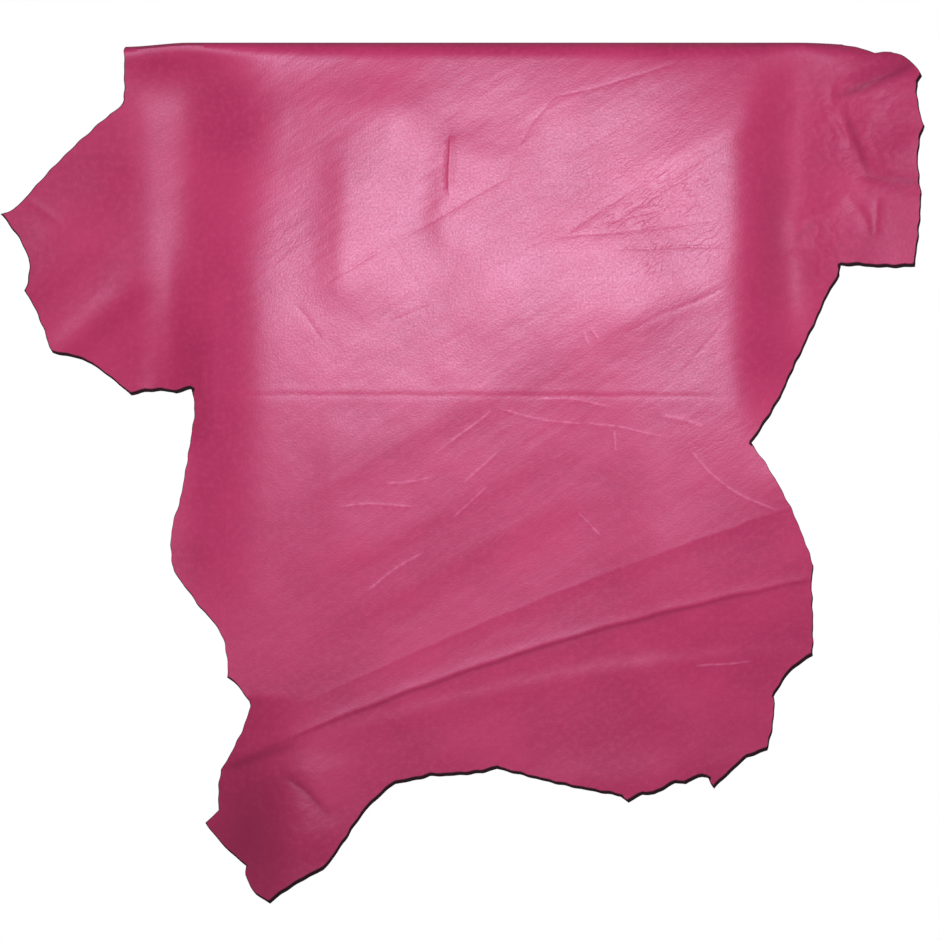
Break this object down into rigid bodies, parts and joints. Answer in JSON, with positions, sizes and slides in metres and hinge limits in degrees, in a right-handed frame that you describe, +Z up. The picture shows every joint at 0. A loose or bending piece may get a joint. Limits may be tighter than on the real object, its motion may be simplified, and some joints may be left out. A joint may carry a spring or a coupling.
{
  "type": "leather hide",
  "caption": "Whole dyed calf hide with its uneven cut outline, hung grain side out over an unseen rail, legs spread and drape folds below",
  "frame": {"origin": "middle of the fold at the top of the hide, on the underside of the leather where it bears on its rail", "axes": "+X to the viewer's right along the fold; +Y away from the viewer, through the leather to the neck behind; +Z up. The grain side of the front faces -Y"},
  "size_m": [1.1016, 0.1502, 1.0427],
  "materials": {
    "hide_leather": "dyed smooth grain with a soft sheen; brown-pink fibrous flesh side and darker cut edge"
  },
  "bodies": {
    "root": {"hide": "hide_leather"}
  },
  "joints": []
}
